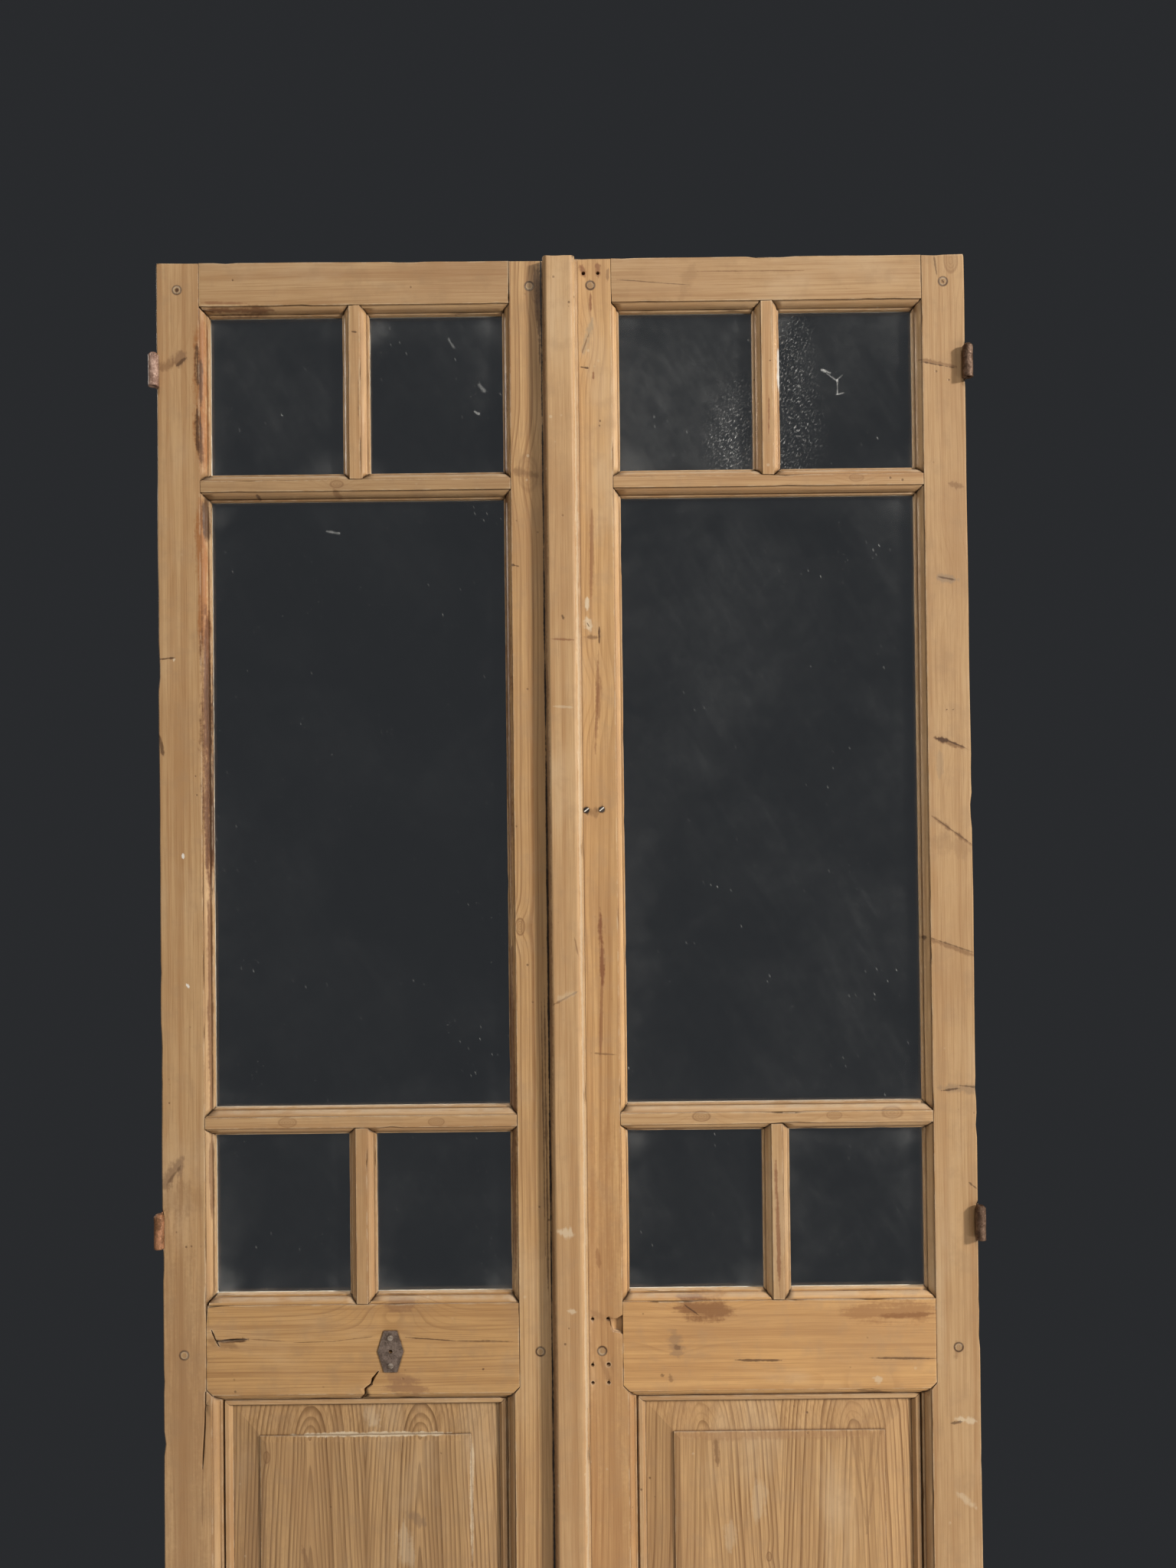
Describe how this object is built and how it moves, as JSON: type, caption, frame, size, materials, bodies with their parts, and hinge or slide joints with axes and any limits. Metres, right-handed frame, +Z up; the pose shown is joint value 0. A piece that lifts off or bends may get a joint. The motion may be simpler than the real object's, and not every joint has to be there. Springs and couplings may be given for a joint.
{
  "type": "french doors",
  "caption": "Old stripped-pine half-glazed double doors: moulded frames with glazing bars, raised bottom panels, a cover strip on the meeting line and rusty lift-off hinge barrels.",
  "frame": {"origin": "middle of the foot of the two leaves, at half the overall depth", "axes": "+Z up, +X to the right as seen from the hinge side, -Y towards the side with the hinge barrels and the cover strip"},
  "size_m": [1.0736, 0.058, 2.45],
  "materials": {
    "pine": "stripped and waxed softwood, worn, with knots, stains and dents",
    "peg_wood": "end grain, darker than the stiles",
    "glass": "clear old sheet glass, hazy with dirt",
    "putty": "hard old glazing putty, pale grey",
    "hinge_iron": "brown rust",
    "plate_iron": "dull brown rust, rubbed bright in places",
    "screw_steel": "tarnished steel"
  },
  "bodies": {
    "left_leaf": {"hex_plate": "plate_iron", "hex_plate_screws": "screw_steel", "left_bottom_hinge": "hinge_iron", "left_bottom_rail": "pine", "left_hinge_screws": "screw_steel", "left_hinge_stile": "pine", "left_lock_rail": "pine", "left_lower_bar": "pine", "left_lower_inner_pane": "glass", "left_lower_muntin": "pine", "left_lower_outer_pane": "glass", "left_meeting_stile": "pine", "left_middle_hinge": "hinge_iron", "left_panel": "pine", "left_panel_beads": "pine", "left_pegs": "peg_wood", "left_putty": "putty", "left_tall_pane": "glass", "left_top_hinge": "hinge_iron", "left_top_rail": "pine", "left_upper_bar": "pine", "left_upper_inner_pane": "glass", "left_upper_muntin": "pine", "left_upper_outer_pane": "glass"},
    "right_leaf": {"astragal": "pine", "old_screws": "screw_steel", "right_bottom_hinge": "hinge_iron", "right_bottom_rail": "pine", "right_hinge_screws": "screw_steel", "right_hinge_stile": "pine", "right_lock_rail": "pine", "right_lower_bar": "pine", "right_lower_inner_pane": "glass", "right_lower_muntin": "pine", "right_lower_outer_pane": "glass", "right_meeting_stile": "pine", "right_middle_hinge": "hinge_iron", "right_panel": "pine", "right_panel_beads": "pine", "right_pegs": "peg_wood", "right_putty": "putty", "right_tall_pane": "glass", "right_top_hinge": "hinge_iron", "right_top_rail": "pine", "right_upper_bar": "pine", "right_upper_inner_pane": "glass", "right_upper_muntin": "pine", "right_upper_outer_pane": "glass"}
  },
  "joints": [
    {"name": "right_leaf_swing", "type": "hinge", "parent": "left_leaf", "child": "right_leaf", "pos_m": [0.53, -0.01825, 1.19], "axis": [0, 0, 1], "range_deg": [0, 170]}
  ]
}
